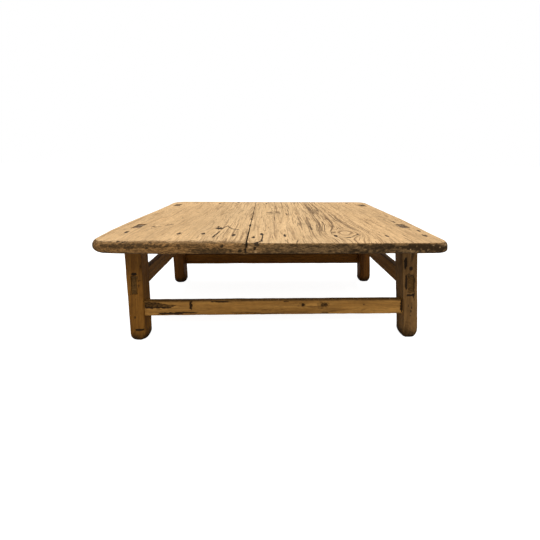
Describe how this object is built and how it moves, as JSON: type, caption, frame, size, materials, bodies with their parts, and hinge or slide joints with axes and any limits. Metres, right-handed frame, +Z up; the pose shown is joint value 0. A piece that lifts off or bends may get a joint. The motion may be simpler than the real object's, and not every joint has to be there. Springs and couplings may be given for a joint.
{
  "type": "low plank coffee table",
  "caption": "Low rustic plank coffee table: a thick board top on through-tenoned square legs, tied by low front and rear stretchers and higher side stretchers.",
  "frame": {"origin": "on the floor, under the middle of the top", "axes": "+Z up, +X along the front edge to the right, +Y from the front edge to the back, along the boards' grain"},
  "size_m": [0.9084, 0.7, 0.335],
  "materials": {
    "top_wood": "worn, dry, lightly waxed",
    "leg_wood": "old brown lacquer, worn satin",
    "stretcher_wood": "old brown lacquer, worn satin",
    "wedge_wood": "bare, dirty end grain",
    "batten_wood": "bare, dusty",
    "pin_bamboo": "bare",
    "nail_iron": "forged, rusted dark"
  },
  "bodies": {
    "root": {"top_board_left": "top_wood", "top_board_right": "top_wood", "board_pins": "pin_bamboo", "front_batten": "batten_wood", "rear_batten": "batten_wood", "front_batten_nails": "nail_iron", "rear_batten_nails": "nail_iron", "leg_front_left": "leg_wood", "leg_front_right": "leg_wood", "leg_rear_left": "leg_wood", "leg_rear_right": "leg_wood", "leg_wedge_front_left": "wedge_wood", "leg_wedge_front_right": "wedge_wood", "leg_wedge_rear_left": "wedge_wood", "leg_wedge_rear_right": "wedge_wood", "front_stretcher": "stretcher_wood", "rear_stretcher": "stretcher_wood", "left_stretcher": "stretcher_wood", "right_stretcher": "stretcher_wood", "stretcher_wedge_front_left": "wedge_wood", "stretcher_wedge_front_right": "wedge_wood", "stretcher_wedge_rear_left": "wedge_wood", "stretcher_wedge_rear_right": "wedge_wood"}
  },
  "joints": []
}
